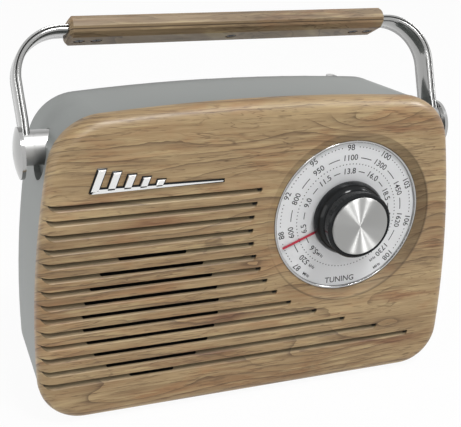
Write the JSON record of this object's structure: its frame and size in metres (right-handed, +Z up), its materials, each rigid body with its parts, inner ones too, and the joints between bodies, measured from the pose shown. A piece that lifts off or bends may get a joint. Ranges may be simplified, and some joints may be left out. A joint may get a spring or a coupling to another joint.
{
  "type": "tabletop radio",
  "caption": "Portable table radio with louvred wood-look front, round tuning dial, tilting strap handle, folding telescopic aerial and battery door.",
  "frame": {"origin": "centre of the bounding box on the plane the feet stand on", "axes": "+X to the listener's right, +Y towards the back of the radio, +Z up; the front faces -Y"},
  "size_m": [0.2706, 0.1028, 0.2268],
  "materials": {
    "panel_wood": "satin film with a pale walnut figure",
    "cabinet_grey": "satin paint, warm grey",
    "chrome_plate": "bright plate, slightly brushed",
    "knob_black": "polished black moulding",
    "spun_cap": "spun face, clear lacquer",
    "dial_print": "printed pale grey sheet",
    "pointer_red": "enamel",
    "grip_brown": "satin film with a walnut figure",
    "zinc_steel": "zinc plated",
    "foot_rubber": "matt",
    "grille_cloth": "black open weave",
    "cone_paper": "pressed paper",
    "magnet_ferrite": "ground ceramic",
    "board_green": "solder mask",
    "component_body": "moulded",
    "coil_copper": "enamelled wire",
    "nylon_white": "natural nylon",
    "contact_nickel": "nickel plated",
    "cell_sleeve": "plain printed sleeve",
    "socket_black": "moulded"
  },
  "bodies": {
    "cabinet": {"front_panel": "panel_wood", "panel_ornament": "chrome_plate", "dial_bezel": "chrome_plate", "dial_plate": "dial_print", "tuning_bush": "coil_copper", "tuning_capacitor": "nylon_white", "drive_belt": "foot_rubber", "speaker_cloth": "grille_cloth", "speaker_frame": "zinc_steel", "speaker_cone": "cone_paper", "dust_cap": "cone_paper", "speaker_magnet": "magnet_ferrite", "speaker_screws": "zinc_steel", "cabinet_shell": "cabinet_grey", "panel_screws": "zinc_steel", "rubber_feet": "foot_rubber", "rear_cover": "cabinet_grey", "cover_screws": "zinc_steel", "battery_cells": "cell_sleeve", "battery_springs": "contact_nickel", "battery_plates": "contact_nickel", "power_jack": "socket_black", "main_board": "board_green", "board_screws": "zinc_steel", "board_parts": "component_body", "ferrite_rod": "magnet_ferrite", "aerial_coil": "coil_copper", "rod_clips": "nylon_white", "volume_pot": "zinc_steel", "band_switch": "zinc_steel", "earphone_jack": "socket_black"},
    "tuning": {"tuning_knob": "knob_black", "knob_cap": "spun_cap", "dial_pointer": "pointer_red", "tuning_shaft": "zinc_steel", "tuning_pulley": "nylon_white"},
    "capacitor_rotor": {"rotor_pulley": "nylon_white"},
    "handle": {"handle_strap": "chrome_plate", "handle_hubs": "chrome_plate", "hub_caps": "chrome_plate", "hub_clips": "zinc_steel", "grip_base": "grip_brown", "grip_cover": "grip_brown", "grip_screws": "zinc_steel"},
    "volume": {"volume_knob": "knob_black"},
    "band": {"band_slider": "knob_black"},
    "door": {"battery_door": "cabinet_grey"},
    "aerial_base": {"aerial_turret": "chrome_plate", "aerial_pin": "zinc_steel", "turret_clip": "zinc_steel"},
    "aerial_lower": {"aerial_outer": "chrome_plate"},
    "aerial_mid": {"aerial_middle": "chrome_plate"},
    "aerial_end": {"aerial_rod": "chrome_plate", "aerial_tip": "chrome_plate"}
  },
  "joints": [
    {"name": "tuning_turn", "type": "hinge", "parent": "cabinet", "child": "tuning", "pos_m": [0.0572, -0.0372, 0.1121], "axis": [0, 1, 0], "range_deg": [-28, 248]},
    {"name": "rotor_turn", "type": "hinge", "parent": "cabinet", "child": "capacitor_rotor", "pos_m": [0.0132, -0.0372, 0.1321], "axis": [0, 1, 0], "range_deg": [-19, 162]},
    {"name": "handle_swing", "type": "hinge", "parent": "cabinet", "child": "handle", "pos_m": [0, -0.0012, 0.1593], "axis": [1, 0, 0], "range_deg": [-62, 118]},
    {"name": "volume_turn", "type": "hinge", "parent": "cabinet", "child": "volume", "pos_m": [0.126, 0.0088, 0.1024], "axis": [1, 0, 0], "range_deg": [-150, 150]},
    {"name": "band_slide", "type": "slide", "parent": "cabinet", "child": "band", "axis": [0, 0, 1], "range_m": [-0.005, 0.005]},
    {"name": "door_swing", "type": "hinge", "parent": "cabinet", "child": "door", "pos_m": [0, 0.0415, 0.0167], "axis": [-1, 0, 0], "range_deg": [0, 90]},
    {"name": "aerial_turn", "type": "hinge", "parent": "cabinet", "child": "aerial_base", "pos_m": [0.081, 0.0428, 0.17237], "axis": [0, 1, 0], "range_deg": [0, 180]},
    {"name": "aerial_tilt", "type": "hinge", "parent": "aerial_base", "child": "aerial_lower", "pos_m": [0.081, 0.0484, 0.17237], "axis": [0, 0, -1], "range_deg": [0, 90]},
    {"name": "aerial_draw_middle", "type": "slide", "parent": "aerial_lower", "child": "aerial_mid", "axis": [-1, 0, 0], "range_m": [0, 0.125]},
    {"name": "aerial_draw_end", "type": "slide", "parent": "aerial_mid", "child": "aerial_end", "axis": [-1, 0, 0], "range_m": [0, 0.125]}
  ],
  "couplings": [
    {"joint": "rotor_turn", "follows": "tuning_turn", "ratio": 0.65}
  ]
}
